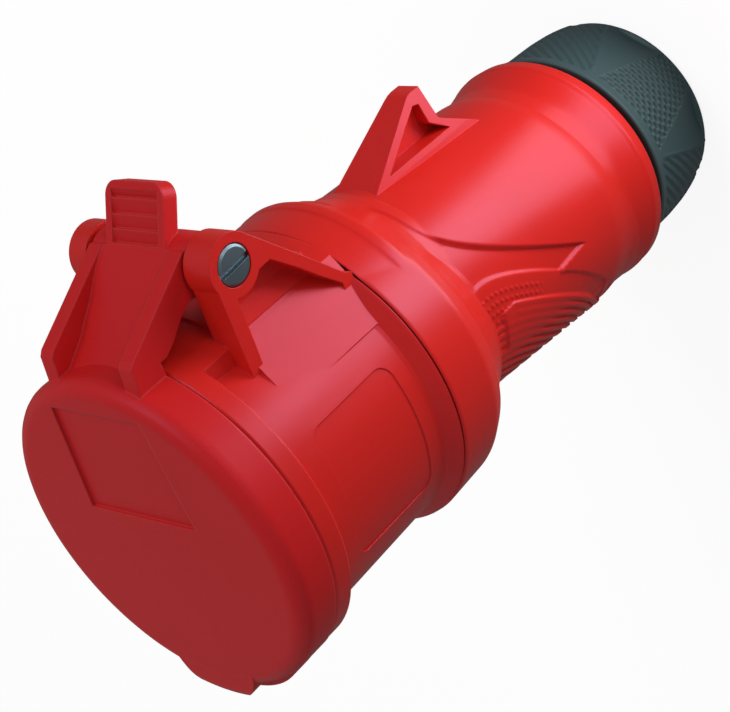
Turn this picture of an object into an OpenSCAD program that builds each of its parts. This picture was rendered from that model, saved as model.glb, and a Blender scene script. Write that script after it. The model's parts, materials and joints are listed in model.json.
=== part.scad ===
// Pin and sleeve cable connector, 16 A, three phases with neutral and earth, with a sprung lid.
// Sizes in mm. Z runs from the gland nut's end to the lid's face, +Y points at the lid's hinge.

/* [Front housing] */
// Inner radius of the well that takes the plug's sleeve
well_r = 29.4; // [29:0.1:30.6]
// Wall round the well at the housing joint
wall = 2.6; // [2.4:0.1:3.2]
// Length from the housing joint to the rim
front_l = 42.9; // [42:0.1:48]
// Length of the front rim
rim_l = 5; // [4:0.5:6]
// Height of the rim over the sleeve
rim_h = 3; // [2.6:0.1:3.6]
// Height of the keyway bulge over the rim
key_h = 3.7; // [3.4:0.1:4.4]

/* [Lid and hinge] */
// Height of the lid from its rear edge to its face
lid_h = 9.5; // [9.2:0.1:11]
// Rounding of the lid's front edge
lid_edge = 3.4; // [2:0.2:3.6]
// Height of the hinge axis over the rim's radius
hinge_rise = 10.4; // [10:0.2:12]
// Distance of the hinge axis behind the rim
hinge_back = 17.6; // [17:0.2:19]
// Half of the gap between the ears
ear_x = 13.8; // [13.4:0.2:15]
// Thickness of an ear
ear_t = 6.8; // [6.4:0.2:7.6]
// Radius of the hinge screw's shank
pin_r = 2; // [1.6:0.1:2.4]
// Width of the thumb tab
tab_w = 16.2; // [13.8:0.4:17]
// Length of the thumb tab
tab_l = 12; // [10:0.4:12.8]

/* [Rear housing] */
// Length of the rear housing
grip_l = 85.3; // [82:0.1:92]
// Radius of the waist halfway along it
waist_r = 26.1; // [25.8:0.1:26.8]
// Height of the hood over the waist
step_h = 0.9; // [0.5:0.1:1.4]
// Height of a grip rib
rib_h = 0.4; // [0.3:0.1:0.6]
// Height of the fin over the hood
fin_h = 11; // [8:0.5:14]

/* [Contacts] */
// Bore of a phase or neutral contact
phase_r = 2.5; // [2.3:0.1:2.7]
// Bore of the earth contact
earth_r = 3.5; // [3.2:0.1:3.7]
// Wall of a contact tube
tube_wall = 1.3; // [1.1:0.1:1.5]
// Radius of the circle on which the contacts stand
pitch_r = 16.6; // [16:0.2:17.2]
// Gap between the carrier and the well's wall
well_gap = 4.5; // [4.4:0.1:5]

/* [Cable gland] */
// Bore of the clamping basket for the cable
cable_r = 8.5; // [7:0.5:9.5]
// Length of the gland nut
nut_l = 25; // [24:0.5:28]
// Gap between the rear housing and the nut
nut_gap = 2; // [1.6:0.2:2.6]
// Radius of the nut at its front edge
nut_r = 26.7; // [26.1:0.1:27.6]
// Pitch of the gland's thread
thread_p = 3; // [2:0.5:4]

/* [Hidden] */
$fn = 96;

running = 0.06;
slack = 0.3;
over = 1;

// Stations along the axis
z_rear = nut_l + nut_gap;
z_joint = z_rear + grip_l;
z_rim = z_joint + front_l;
z_lid = z_rim + slack;
z_face = z_lid + lid_h;
z_plate = z_face - 2.7;
z_seat = z_face - 5.4;

// Radii of the housings
sleeve_r = well_r + wall;
draft = 1;
mouth_r = sleeve_r + draft;
rim_r = mouth_r + rim_h;
lid_r = rim_r + 0.1;
lid_in = lid_r - 2.6;
collar_r = sleeve_r + 2.8;
flange_r = collar_r - 0.1;
spigot_r = well_r + 1.7;
spigot_l = 11;
joint_gap = 0.4;
ledge_t = 2;
ledge_z = z_joint - 4.3;
lip_h = 1.2;

// Hinge
hinge_y = rim_r + hinge_rise;
hinge_z = z_rim - hinge_back;
boss_r = pin_r + 4.2;
barrel_r = pin_r + 3.6;
ear_out = ear_x + ear_t;
ear_left = ear_out - 1.8;
web_x = ear_x + 1.8;
flange_x = ear_x - 0.8;
flange_t = 3.5;
head_r = pin_r + 1.9;
head_t = 1.5;
coil_x = 5.4;
wire_r = 0.7;
coil_r = pin_r + 1.3;

// Carrier and contacts
carrier_r = well_r - well_gap;
carrier_front = z_rim - 2.6;
carrier_flange_t = 4;
cover_front = ledge_z - carrier_flange_t;
cover_l = 12;
front_wall = 2.8;
tube_front = carrier_front - front_wall;
tube_back = ledge_z + 4;
clip_gap = 0.7;
sleeve_wall = 1.5;
block_back = cover_front - cover_l - 3;
collar_t = 2;
CONTACTS = [[-162, phase_r], [126, phase_r], [54, phase_r], [-18, phase_r], [-90, earth_r]];

// Gland
stem_r = nut_r - 5.7;
stem_in = stem_r - 3.8;
stem_end = 8;
thread_h = 0.8;
seal_z = 9;
seal_front = z_rear - 4;
nut_floor = 2.6;
thrust_t = 2;

// Outline of the nut: height, and how far the surface lies inside the nut's radius
NUT_SIDE = [[0, 4.2], [1, 3.5], [2, 3], [4, 2.5], [6, 2.1], [8, 1.8], [12, 1.45],
    [nut_l - 8, 1.3], [nut_l - 5, 1.1], [nut_l - 3, 0.8], [nut_l - 1, 0.3], [nut_l - 0.4, 0], [nut_l, 0.4]];

// Reference length that the rear housing's outline was drawn at
grip_ref = 85.3;
grip_lead = 2.1;
cavity_r = waist_r - 5.5;
pad_h = 0.5;
blade_h = 0.2;
waist_shift = 3.2;
waist_tilt = 4.55;
waist_taper = 0.01;
// Arc of the collar's top, whose centre lies over the axis
crown_shift = 5.6;
crown_r = collar_r + 1.4 - crown_shift;

function st(d) = z_joint - (d + grip_lead) * grip_l / grip_ref;
function arc(c, r, a0, a1, n) = [for (i = [0 : n]) c + r * [cos(a0 + (a1 - a0) * i / n),
    sin(a0 + (a1 - a0) * i / n)]];
function bez(a, b, c, d, n) = [for (i = [0 : n]) let (t = i / n)
    a * pow(1 - t, 3) + b * 3 * t * pow(1 - t, 2) + c * 3 * t * t * (1 - t) + d * t * t * t];
function sleeve_out(i) = CONTACTS[i][1] + tube_wall + clip_gap + sleeve_wall;
function on_grip(pts) = [for (p = pts) [p[0], st(p[1])]];
function lower(pts, h) = [for (p = pts) [p[0] - h, p[1]]];
function nut_at(z) = nut_r - lookup(z, NUT_SIDE);
function turned(pts) = [for (i = [len(pts) - 1 : -1 : 0]) pts[i]];

// Upper edge of the grip pad and the edge on from it that the hood's barb shares
PAD_EDGE = bez([8, 19.6], [10.6, 23.5], [8.5, 30], [-1.6, 46.1], 9);
PAD_END = bez([-1.6, 46.2], [-4.5, 51], [-9.5, 58], [-18.8, 66.5], 6);

module tube(r_out, r_in, z0, z1) {
    rotate_extrude()
        translate([r_in, z0])
            square([r_out - r_in, z1 - z0]);
}

module rod(r, z0, z1) {
    translate([0, 0, z0])
        cylinder(h = z1 - z0, r = r);
}

// Extrudes an outline drawn in Y and Z along X
module along_x(x0, x1) {
    translate([x0, 0, 0])
        rotate([90, 0, 90])
            linear_extrude(x1 - x0)
                children();
}

// Cylinder along X at a place in Y and Z
module x_rod(r, x0, x1, y, z) {
    translate([x0, y, z])
        rotate([0, 90, 0])
            cylinder(h = x1 - x0, r = r);
}

module at_contact(i) {
    rotate([0, 0, CONTACTS[i][0]])
        translate([pitch_r, 0, 0])
            children();
}

// Round nose of the bulge over the keyway, seen along the axis
module key_nose(depth, r) {
    translate([0, r - depth])
        circle(r);
}

/* Front housing */

module sleeve_shell() {
    rotate_extrude()
        polygon([[well_r, z_rim + lip_h], [well_r + 1.4, z_rim + lip_h], [well_r + 1.5, z_rim],
            [rim_r - 0.5, z_rim], [rim_r, z_rim - 0.5], [rim_r, z_rim - rim_l + 0.7],
            [rim_r - 0.6, z_rim - rim_l], [mouth_r + 0.5, z_rim - rim_l],
            [mouth_r, z_rim - rim_l - 0.6], [sleeve_r + 0.1, z_joint + 4.4],
            [sleeve_r + 0.3, z_joint + 3.5], [flange_r - 0.3, z_joint + joint_gap + 0.5],
            [flange_r, z_joint + joint_gap],
            [spigot_r, z_joint + joint_gap], [spigot_r, z_joint - spigot_l + 0.6],
            [spigot_r - 0.6, z_joint - spigot_l], [well_r, z_joint - spigot_l],
            [well_r, ledge_z], [well_r - 1, ledge_z], [well_r - 1, ledge_z + ledge_t],
            [well_r, ledge_z + ledge_t + 0.8]]);
}

// Saddle under the hinge, level with the rim, that runs out tangentially into the sleeve
module hinge_saddle() {
    corner = 16.2;
    intersection() {
        rod(rim_r, z_joint + joint_gap, z_rim - rim_l / 2);
        translate([-corner - 0.8, 0, z_joint + joint_gap])
            cube([2 * corner + 1.6, rim_r, front_l - rim_l / 2 - joint_gap]);
    }
    intersection() {
        rod(rim_r + 0.4, z_joint + joint_gap, hinge_z + 4);
        translate([0, 0, z_joint + joint_gap])
            linear_extrude(hinge_z - z_joint + 4)
                polygon([[-corner, 40], [-corner, rim_r - 3.2], [-25.9, sleeve_r - 12.4],
                    [25.9, sleeve_r - 12.4], [corner, rim_r - 3.2], [corner, 40]]);
    }
}

// Side view of an ear's frame: front leg, boss and rear bar
module ear_frame() {
    y = hinge_y;
    z = hinge_z;
    translate([y, z])
        circle(boss_r);
    polygon([[20, z + 5.7], [rim_r - 5, z + 5.9], [y - 2, z + 5.7], [y - 2, z],
        [y - boss_r + 0.1, z - 0.6], [y - 5.4, z + 2.3], [y - 10.2, z + 2.4], [20, z + 2.9]]);
    polygon([[y + 5.6, z - 2.6], [y + 4.5, z - 4.1], [y + 1.2, z - 7.3], [y - 7.1, z - 14.9],
        [y - 11.2, z - 18.6], [collar_r * 0.862, z_joint + 2.1], [collar_r * 0.835, z_joint + joint_gap],
        [18, z_joint + joint_gap], [18, z_joint + 3.4], [collar_r * 0.815, z_joint + 3.4],
        [y - 13.5, z - 17.4], [y - 8.8, z - 13.1], [y - 3.8, z - 8], [y - 4, z - 4]]);
}

module ear_web() {
    polygon([[20, hinge_z + 3.5], [hinge_y - 3, hinge_z + 1], [hinge_y + 1, hinge_z - 5],
        [hinge_y - 8, hinge_z - 15.4], [collar_r * 0.84, z_joint + 3], [20, z_joint + 3]]);
}

module ear(x_out) {
    along_x(ear_x, x_out)
        ear_frame();
    along_x(ear_x, web_x)
        ear_web();
    // Sloping foot between the web and the saddle
    translate([0, 0, z_joint + 5.9])
        linear_extrude(hinge_z - z_joint - 2.4)
            polygon([[ear_x, rim_r - 6], [web_x + 1.1, rim_r - 3.4], [web_x, rim_r + 0.6],
                [ear_x, rim_r + 0.6]]);
}

module front_moulding() {
    difference() {
        union() {
            sleeve_shell();
            hinge_saddle();
            ear(ear_out);
            mirror([1, 0, 0])
                ear(ear_left);
            // Bulge over the keyway, on the rim and along the sleeve
            intersection() {
                rod(rim_r + key_h, z_rim - rim_l, z_rim - 0.02);
                translate([0, 0, z_rim - rim_l])
                    linear_extrude(rim_l - 0.02)
                        key_nose(rim_r + key_h - 0.1, 25.4);
            }
            translate([0, 0, z_joint + joint_gap])
                linear_extrude(front_l - rim_l / 2 - joint_gap)
                    key_nose(sleeve_r + 4.4, 9);
        }
        // Well and the spigot's inside stay clear of the ears, the saddle and the bulge
        rod(well_r, ledge_z + ledge_t, z_rim + over + lip_h);
        rod(well_r - 1, z_joint - spigot_l - over, z_rim);
        // Keyway
        translate([-4.2, -sleeve_r - 1.4, ledge_z + ledge_t + 4])
            cube([8.4, 8, front_l + over]);
        // Screw bore, with the head's counterbore on the right ear and the insert's on the left
        x_rod(pin_r + 0.02, -ear_left + 1.4, ear_out + over, hinge_y, hinge_z);
        x_rod(head_r + 0.2, ear_out - head_t, ear_out + over, hinge_y, hinge_z);
        x_rod(pin_r + 1.2, -ear_left + 1.4, -ear_x + over, hinge_y, hinge_z);
        // Shallow label recess on the right side of the sleeve
        label_recess();
    }
}

// Strip of the moulding that holds the keyway, from the spigot's end to the rim
module keyway_zone() {
    width = 16;
    translate([-width / 2, -2 * well_r, z_joint - spigot_l - over])
        cube([width, 1.4 * well_r, spigot_l + front_l + 3 * over]);
}

module front_housing() {
    color("#c8201c")
    difference() {
        front_moulding();
        keyway_zone();
    }
}

// Keyway channel of the front moulding, a solid of its own so that its groove stays open in collision
module keyway_channel() {
    color("#c8201c")
    intersection() {
        front_moulding();
        keyway_zone();
    }
}

module label_recess() {
    z0 = z_joint + 8.1;
    z1 = z_rim - 11.5;
    half = sleeve_r * 0.45;
    corner = 3;
    depth = 0.22;
    difference() {
        along_x(sleeve_r / 2, collar_r)
            union() {
                translate([-half + corner, z0])
                    square([2 * (half - corner), z1 - z0]);
                translate([-half, z0 + corner])
                    square([2 * half, z1 - z0 - 2 * corner]);
                for (s = [-1, 1], z = [z0 + corner, z1 - corner])
                    translate([s * (half - corner), z])
                        circle(corner);
            }
        translate([0, 0, z0 - over])
            cylinder(h = z1 - z0 + 2 * over, r1 = sleeve_r + 0.22 - depth,
                r2 = sleeve_r + 0.78 - depth);
    }
}

/* Lid */

module lid_arm_side() {
    y = hinge_y;
    z = hinge_z;
    polygon([[rim_r - 5, z_face - 1.4], [rim_r - 2.5, z_face - 2.4], [rim_r + 3, z_face - 3.1],
        [rim_r + 4, z_face - 3.9], [y + 4.6, z + 4.1], [y + 4.4, z + 1], [y, z],
        [y - 4.9, z + 1.2], [y - 4, z + 6.8], [y - 5.4, z + 9.6], [y - 8.6, z + 13.8],
        [y - 9.9, z + 16.2], [y - 9.9, z_lid], [rim_r - 5, z_lid]]);
    translate([y, z])
        circle(barrel_r);
}

// Plate between the flanges, set back behind their front edges
module lid_arm_panel() {
    y = hinge_y;
    z = hinge_z;
    polygon([[rim_r - 5, z_face - 2.2], [rim_r - 2.7, z_face - 3.3], [rim_r - 0.2, z_face - 6.6],
        [rim_r + 2.3, z_face - 10.2], [y - 5.5, z + 14.4], [y - 2.9, z + 11.5], [y + 1.3, z + 7.7],
        [y + 4.6, z + 3.9], [y + 2.6, z - 1], [y - 0.5, z + 0.5], [y - 1.2, z + 5.2],
        [rim_r + 0.5, z_lid - 2.6], [rim_r + 0.5, z_lid], [rim_r - 5, z_lid]]);
}

module thumb_tab() {
    lean = 27;
    frame = 1.6;
    t = 3.4;
    corner = 3;
    steps = [0.3, 3, 5.8, 8.8, 10.4];
    translate([0, hinge_y + 4.8, hinge_z + 3.8])
        rotate([-lean, 0, 0])
            difference() {
                union() {
                    translate([-tab_w / 2, -3, -t])
                        cube([tab_w, tab_l + 3 - corner, t]);
                    translate([corner - tab_w / 2, -3, -t])
                        cube([tab_w - 2 * corner, tab_l + 3, t]);
                    for (s = [-1, 1])
                        translate([s * (tab_w / 2 - corner), tab_l - corner, -t])
                            cylinder(h = t, r = corner);
                }
                // Ribs like saw teeth inside a raised frame
                for (i = [0 : 3])
                    along_x(frame - tab_w / 2, tab_w / 2 - frame)
                        polygon([[steps[i], over], [steps[i], -0.9],
                            [steps[i + 1], -0.1], [steps[i + 1], over]] * (tab_l / 12));
                // Rear edge of the tip, cut back at a slant
                translate([-tab_w, tab_l - 1.6, -t - 0.1])
                    rotate([-28, 0, 0])
                        translate([0, 0, -2])
                            cube([2 * tab_w, 6, 2]);
            }
}

module lid_disc() {
    edge = arc([lid_r - lid_edge, z_face - lid_edge], lid_edge, 90, 0, 7);
    rotate_extrude()
        polygon(concat([[0, z_plate], [0, z_face]], edge, [[lid_r, z_lid], [lid_in, z_lid],
            [lid_in, z_seat], [well_r - 0.9, z_seat], [well_r - 0.9, z_seat - 2.2],
            [well_r - 1.7, z_seat - 2.2], [well_r - 2.4, z_plate]]));
}

module lid_bulge() {
    depth = lid_r + key_h;
    intersection() {
        rotate_extrude()
            polygon(concat([[0, z_lid], [0, z_face - 0.02]],
                arc([depth - lid_edge, z_face - lid_edge - 0.02], lid_edge, 90, 0, 7),
                [[depth, z_lid]]));
        union() {
            translate([0, 0, z_lid])
                linear_extrude(lid_h)
                    key_nose(depth, 11.2);
            translate([0, 0, z_lid])
                linear_extrude(lid_h / 2)
                    key_nose(depth - 0.1, 25.4);
        }
    }
}

module lid_arm() {
    for (s = [0, 1])
        mirror([s, 0, 0]) {
            along_x(flange_x - flange_t, flange_x)
                lid_arm_side();
            x_rod(barrel_r, coil_x, flange_x - 0.3, hinge_y, hinge_z);
        }
    along_x(flange_t - flange_x - 0.2, flange_x - flange_t + 0.2)
        lid_arm_panel();
    thumb_tab();
}

module lid() {
    recess = 0.7;
    color("#cc2420")
    difference() {
        union() {
            lid_disc();
            difference() {
                union() {
                    lid_bulge();
                    lid_arm();
                }
                rod(lid_in + 0.4, z_lid - over, z_face - 4);
            }
        }
        x_rod(pin_r + running, -ear_x, ear_x, hinge_y, hinge_z);
        // Room for the spring between the two knuckles
        x_rod(coil_r + wire_r + 0.4, -coil_x, coil_x, hinge_y, hinge_z);
        // Shallow recess in the face
        translate([0, 0, z_face - recess])
            linear_extrude(2)
                polygon([[-14.8, 5.7], [14.8, 5.7], [12.6, 29.7], [-12.4, 29.7]]);
    }
}

module lid_gasket() {
    color("#26282a")
        rotate_extrude()
            polygon([[well_r - 0.8, z_seat], [well_r - 0.8, z_rim + lip_h + 0.5],
                [well_r - 0.2, z_rim + lip_h + 0.1], [lid_in - 1.9, z_rim + lip_h + 0.1],
                [lid_in - 1.1, z_rim + lip_h + 0.7], [lid_in - 1.1, z_seat]]);
}

module hinge_screw() {
    color("#8d9aa0")
    difference() {
        union() {
            x_rod(pin_r, 3 - ear_left, ear_out - 1, hinge_y, hinge_z);
            translate([ear_out - head_t, hinge_y, hinge_z])
                rotate([90, 0, 90])
                    rotate_extrude()
                        polygon([[0, 0], [head_r, 0], [head_r, head_t - 0.1],
                            [head_r - 0.5, head_t + 0.3], [0, head_t + 0.4]]);
        }
        // Driver slot
        translate([ear_out - 0.8, hinge_y, hinge_z])
            rotate([95, 0, 0])
                translate([0, -head_r - over, -0.55])
                    cube([2, 2 * head_r + 2 * over, 1.1]);
    }
}

module hinge_insert() {
    color("#b5883c")
    difference() {
        x_rod(pin_r + 1.18, 1.5 - ear_left, -ear_x - 0.6, hinge_y, hinge_z);
        x_rod(pin_r + 0.01, 2.5 - ear_left, -ear_x, hinge_y, hinge_z);
    }
}

// Torsion spring, close wound, with one leg on the saddle and one behind the lid's panel
module lid_spring() {
    coils = 6;
    step = 1.9 * wire_r;
    x0 = -step * (coils - 1) / 2;
    color("#a9adb0") {
        for (i = [0 : coils - 1])
            translate([x0 + i * step, hinge_y, hinge_z])
                rotate([0, 90, 0])
                    rotate_extrude()
                        translate([coil_r, 0])
                            circle(wire_r);
        translate([-x0, hinge_y + 0.5, hinge_z - coil_r])
            rotate([90, 0, 0])
                cylinder(h = hinge_rise, r = wire_r * 0.98);
        translate([x0, hinge_y - coil_r, hinge_z - 0.5])
            rotate([4, 0, 0])
                cylinder(h = 7.2, r = wire_r * 0.98);
    }
}

/* Insert and contacts */

module contact_carrier() {
    color("#3c4043")
    difference() {
        rotate_extrude()
            polygon([[0, cover_front], [carrier_r, cover_front], [carrier_r, carrier_front - 1],
                [carrier_r - 1, carrier_front], [0, carrier_front]]);
        for (i = [0 : 4])
            at_contact(i) {
                r = sleeve_out(i) + 0.05;
                rod(r, cover_front - over, carrier_front + over);
                rod(r + 0.8, cover_front - over, cover_front + collar_t);
            }
        // Moulding pocket in the face
        rod(7.2, carrier_front - 1.2, carrier_front + over);
        rod(1.6, cover_front - over, cover_front + 14);
        // Mark of the keyway's side
        translate([-4, -carrier_r - over, carrier_front - 5])
            cube([8, 1.8, 6]);
    }
}

// Flange round the insert, held between the ledge and the rear cover
module carrier_flange() {
    color("#3c4043")
        rotate_extrude()
            polygon([[carrier_r + 0.02, cover_front], [well_r - 0.3, cover_front],
                [well_r - 0.3, ledge_z - 0.9], [well_r - 1.2, ledge_z], [carrier_r + 0.02, ledge_z]]);
}

// Insulating tube round a contact, with a foot held between insert and cover
module contact_sleeve(i) {
    r = CONTACTS[i][1];
    color("#54595c")
    at_contact(i)
        difference() {
            union() {
                rod(sleeve_out(i), cover_front + 0.02, carrier_front - 0.02);
                rod(sleeve_out(i) + 0.75, cover_front + 0.02, cover_front + collar_t - 0.05);
            }
            rod(r + 0.4, tube_front, carrier_front + over);
            rod(r + tube_wall + clip_gap, cover_front - over, tube_front + 0.1);
            rod(r + tube_wall + 1.6, cover_front - over, cover_front + collar_t);
            // Countersunk mouth
            translate([0, 0, carrier_front - 0.82])
                cylinder(h = 1, r1 = r + 0.4, r2 = r + 1.4);
        }
}

module sleeve_l1() {
    contact_sleeve(0);
}

module sleeve_l2() {
    contact_sleeve(1);
}

module sleeve_l3() {
    contact_sleeve(2);
}

module sleeve_n() {
    contact_sleeve(3);
}

module sleeve_pe() {
    contact_sleeve(4);
}

module carrier_seal() {
    color("#26282a")
        rotate_extrude()
            polygon([[well_r - 1.08, ledge_z - 0.02], [well_r - 0.26, ledge_z - 0.84],
                [well_r - 0.05, ledge_z - 0.84], [well_r - 0.05, ledge_z - 0.02]]);
}

module terminal_carrier() {
    r_cover = carrier_r - 0.5;
    z0 = cover_front - cover_l;
    color("#cfd2cc")
    difference() {
        union() {
            rod(r_cover, z0, cover_front);
            tube(well_r - 0.6, r_cover - over, cover_front - 2, cover_front);
        }
        for (i = [0 : 4])
            at_contact(i) {
                r = CONTACTS[i][1];
                rod(r + tube_wall + clip_gap, z0 - over, cover_front + over);
                // Window for the terminal screw, open to the outside
                translate([0, -2.4, z0 - over])
                    cube([12, 4.8, 9]);
            }
        rod(2.1, z0 - over, cover_front + over);
        rod(4.2, z0 - over, z0 + 3.4);
    }
}

module centre_screw() {
    z0 = cover_front - cover_l + 1;
    color("#8d9aa0")
    difference() {
        union() {
            rod(3.8, z0, z0 + 2.4);
            rod(1.58, z0 + 2, cover_front + 12);
        }
        translate([-5, -0.5, z0 - over])
            cube([10, 1, over + 1.1]);
    }
}

// Slotted tube in front, a collar held between insert and cover, and the terminal block
module contact(i) {
    r = CONTACTS[i][1];
    out = r + tube_wall;
    color("#c9a24a")
    at_contact(i)
        difference() {
            union() {
                rod(out, tube_back - 6, tube_front);
                rod(out + 0.6, block_back, tube_back - 5.5);
                rod(out + 1.5, cover_front + 0.02, cover_front + collar_t - 0.05);
            }
            rod(r, tube_back, tube_front + over);
            translate([0, 0, tube_front - 0.7])
                cylinder(h = 0.8, r1 = r, r2 = r + 0.7);
            // Two slots let the tube spring open
            for (a = [0, 90])
                rotate([0, 0, a])
                    translate([-out - over, -0.35, tube_back + 8])
                        cube([2 * (out + over), 0.7, tube_front]);
            // Wire bore and its screw's bore
            rod(r - 0.5, block_back - over, block_back + 10.4);
            translate([0, 0, block_back + 4])
                rotate([0, 90, 0])
                    cylinder(h = 10, r = 1.52);
        }
}

module contact_l1() {
    contact(0);
}

module contact_l2() {
    contact(1);
}

module contact_l3() {
    contact(2);
}

module contact_n() {
    contact(3);
}

module contact_pe() {
    contact(4);
}

module contact_springs() {
    color("#b9bdc0")
        for (i = [0 : 4])
            at_contact(i)
                difference() {
                    tube(CONTACTS[i][1] + tube_wall + 0.5, CONTACTS[i][1] + tube_wall + 0.02,
                        tube_front - 7, tube_front - 3);
                    rotate([0, 0, 45])
                        translate([0, -0.8, tube_front - 8])
                            cube([8, 1.6, 6]);
                }
}

module terminal_screws() {
    color("#8d9aa0")
        for (i = [0 : 4])
            at_contact(i)
                translate([CONTACTS[i][1] - 1.2, 0, block_back + 4])
                    rotate([0, 90, 0])
                        difference() {
                            union() {
                                cylinder(h = 4.2, r = 1.5);
                                translate([0, 0, 3.6])
                                    cylinder(h = 1.6, r = 2.1);
                            }
                            translate([-3, -0.35, 4.5])
                                cube([6, 0.7, 2]);
                        }
}

/* Rear housing */

// Outline in Y and Z that holds the hood: a wave, then a barb, then the way round the barrel
module hood_outline() {
    crest = bez([34.6, 12], [31.5, 17.5], [30.5, 19], [26.8, 19.4], 5);
    wave = bez([26.8, 19.4], [20, 20.3], [15.5, 26.5], [-0.4, 55.7], 12);
    polygon(on_grip(concat([[50, 12]], crest, wave, PAD_END, [[-45, 70], [50, 70]])));
}

module grip_outline() {
    polygon(on_grip(concat([[-45, 9], [8, 9]], PAD_EDGE, PAD_END, [[-45, 68]])));
}

module blade_outline() {
    polygon(on_grip(concat(bez([0.8, 30], [-2, 36], [-7, 46], [-15.5, 57], 8), [[-20, 61.5],
        [-45, 62.5], [-45, 9], [-9.2, 9], [-9.2, 30]])));
}

// Tapering body between collar and barrel: a cone whose axis sinks towards the gland
module waist(r, d0, d1) {
    mid = 44.2;
    taper = waist_taper * grip_l;
    intersection() {
        translate([0, waist_shift / 2, st(mid)])
            rotate([-waist_tilt * grip_ref / grip_l, 0, 0])
                translate([0, 0, -grip_l / 2])
                    cylinder(h = grip_l, r1 = r + taper, r2 = r - taper);
        rod(60, st(d1), st(d0));
    }
}

// Collar and the bevel behind it
module collar_body() {
    rotate_extrude()
        polygon([[0, st(31)], [0, z_joint], [collar_r - 0.3, z_joint], [collar_r, z_joint - 0.3],
            [collar_r - 0.45, st(8.4)], [collar_r - 0.6, st(9.5)], [collar_r - 1.1, st(10.6)],
            [sleeve_r + 0.4, st(13.2)], [sleeve_r - 2, st(16.2)], [sleeve_r - 4, st(19.2)],
            [sleeve_r - 5.6, st(22.2)], [sleeve_r - 7.4, st(25)], [sleeve_r - 8.3, st(28)],
            [sleeve_r - 8.7, st(31)]]);
}

// Flat arc over the collar's top, with a ridge at its rear and its own bevel
module crown(rise) {
    translate([0, crown_shift, 0])
        rotate_extrude()
            polygon([[0, st(22)], [0, z_joint], [crown_r + rise, z_joint], [crown_r + rise, st(6.2)],
                [crown_r + rise + 0.2, st(6.2)], [crown_r + rise + 0.2, st(8.4)],
                [crown_r + rise - 0.1, st(9.1)], [crown_r + rise - 0.8, st(10.2)],
                [crown_r + rise - 2.2, st(12.2)], [crown_r + rise - 3.4, st(14.2)],
                [crown_r + rise - 4.5, st(16.2)], [crown_r + rise - 5.4, st(18.2)],
                [crown_r + rise - 6.2, st(22)]]);
}

module barrel_body() {
    rotate_extrude()
        polygon([[0, z_rear], [26.6, z_rear], [27.3, z_rear + 0.5], [27.8, z_rear + 1.3],
            [27.9, z_rear + 3], [27.8, z_rear + 4.8], [26.8, z_rear + 9.6], [26.6, z_rear + 11],
            [26.6, st(70)], [27, st(65.5)], [27.3, st(62)], [26, st(60)], [0, st(60)]]);
}

module grip_ribs() {
    pitch = 2.05;
    intersection() {
        waist(waist_r + pad_h + blade_h + rib_h, 12, 65);
        along_x(-45, 45)
            intersection() {
                grip_outline();
                blade_outline();
                union() {
                    for (i = [3 : 15])
                        polygon(on_grip(concat([[8 - i * pitch, 9]], lower(PAD_EDGE, i * pitch),
                            lower(PAD_END, i * pitch), turned(lower(PAD_END, i * pitch + pitch / 2)),
                            turned(lower(PAD_EDGE, i * pitch + pitch / 2)),
                            [[8 - (i + 0.5) * pitch, 9]])));
                }
            }
    }
}

module fin() {
    top = waist_r + step_h + 2.9 + fin_h;
    foot = 24;
    intersection() {
        along_x(-12, 12)
            polygon([[foot, st(16)], [26.3, st(18.2)], [29, st(22.9)], [top - 0.7, st(42.7)],
                [top - 0.2, st(43.8)], [top, st(45)], [top, st(47.7)], [33.4, st(48.2)],
                [32.6, st(49.2)], [27.8, st(57.1)], [foot, st(62)]]);
        translate([0, 0, st(64)])
            linear_extrude(60)
                polygon([[-6.8, foot], [-6, 29], [-2.7, top + 0.1], [2.7, top + 0.1],
                    [6, 29], [6.8, foot]]);
    }
}

module fin_pocket() {
    top = waist_r + step_h + 2.9 + fin_h;
    along_x(1.3, 12)
        polygon([[30.4, st(28.9)], [top - 2.5, st(43.6)], [top - 2.9, st(45.3)], [33.6, st(45.3)],
            [30.2, st(49.7)]]);
}

module rear_shell() {
    collar_body();
    crown(0);
    waist(waist_r, 20, 62);
    barrel_body();
    // Hood over the upper half, ended by the wave
    intersection() {
        union() {
            waist(waist_r + step_h, 14, 64.5);
            crown(0.4);
        }
        along_x(-45, 45)
            hood_outline();
    }
    // Grip pad round the lower half, a blade on it and the ribs
    intersection() {
        waist(waist_r + pad_h, 14, 65);
        along_x(-45, 45)
            grip_outline();
    }
    intersection() {
        waist(waist_r + pad_h + blade_h, 20, 63);
        along_x(-45, 45)
            blade_outline();
    }
    grip_ribs();
    fin();
}

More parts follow.
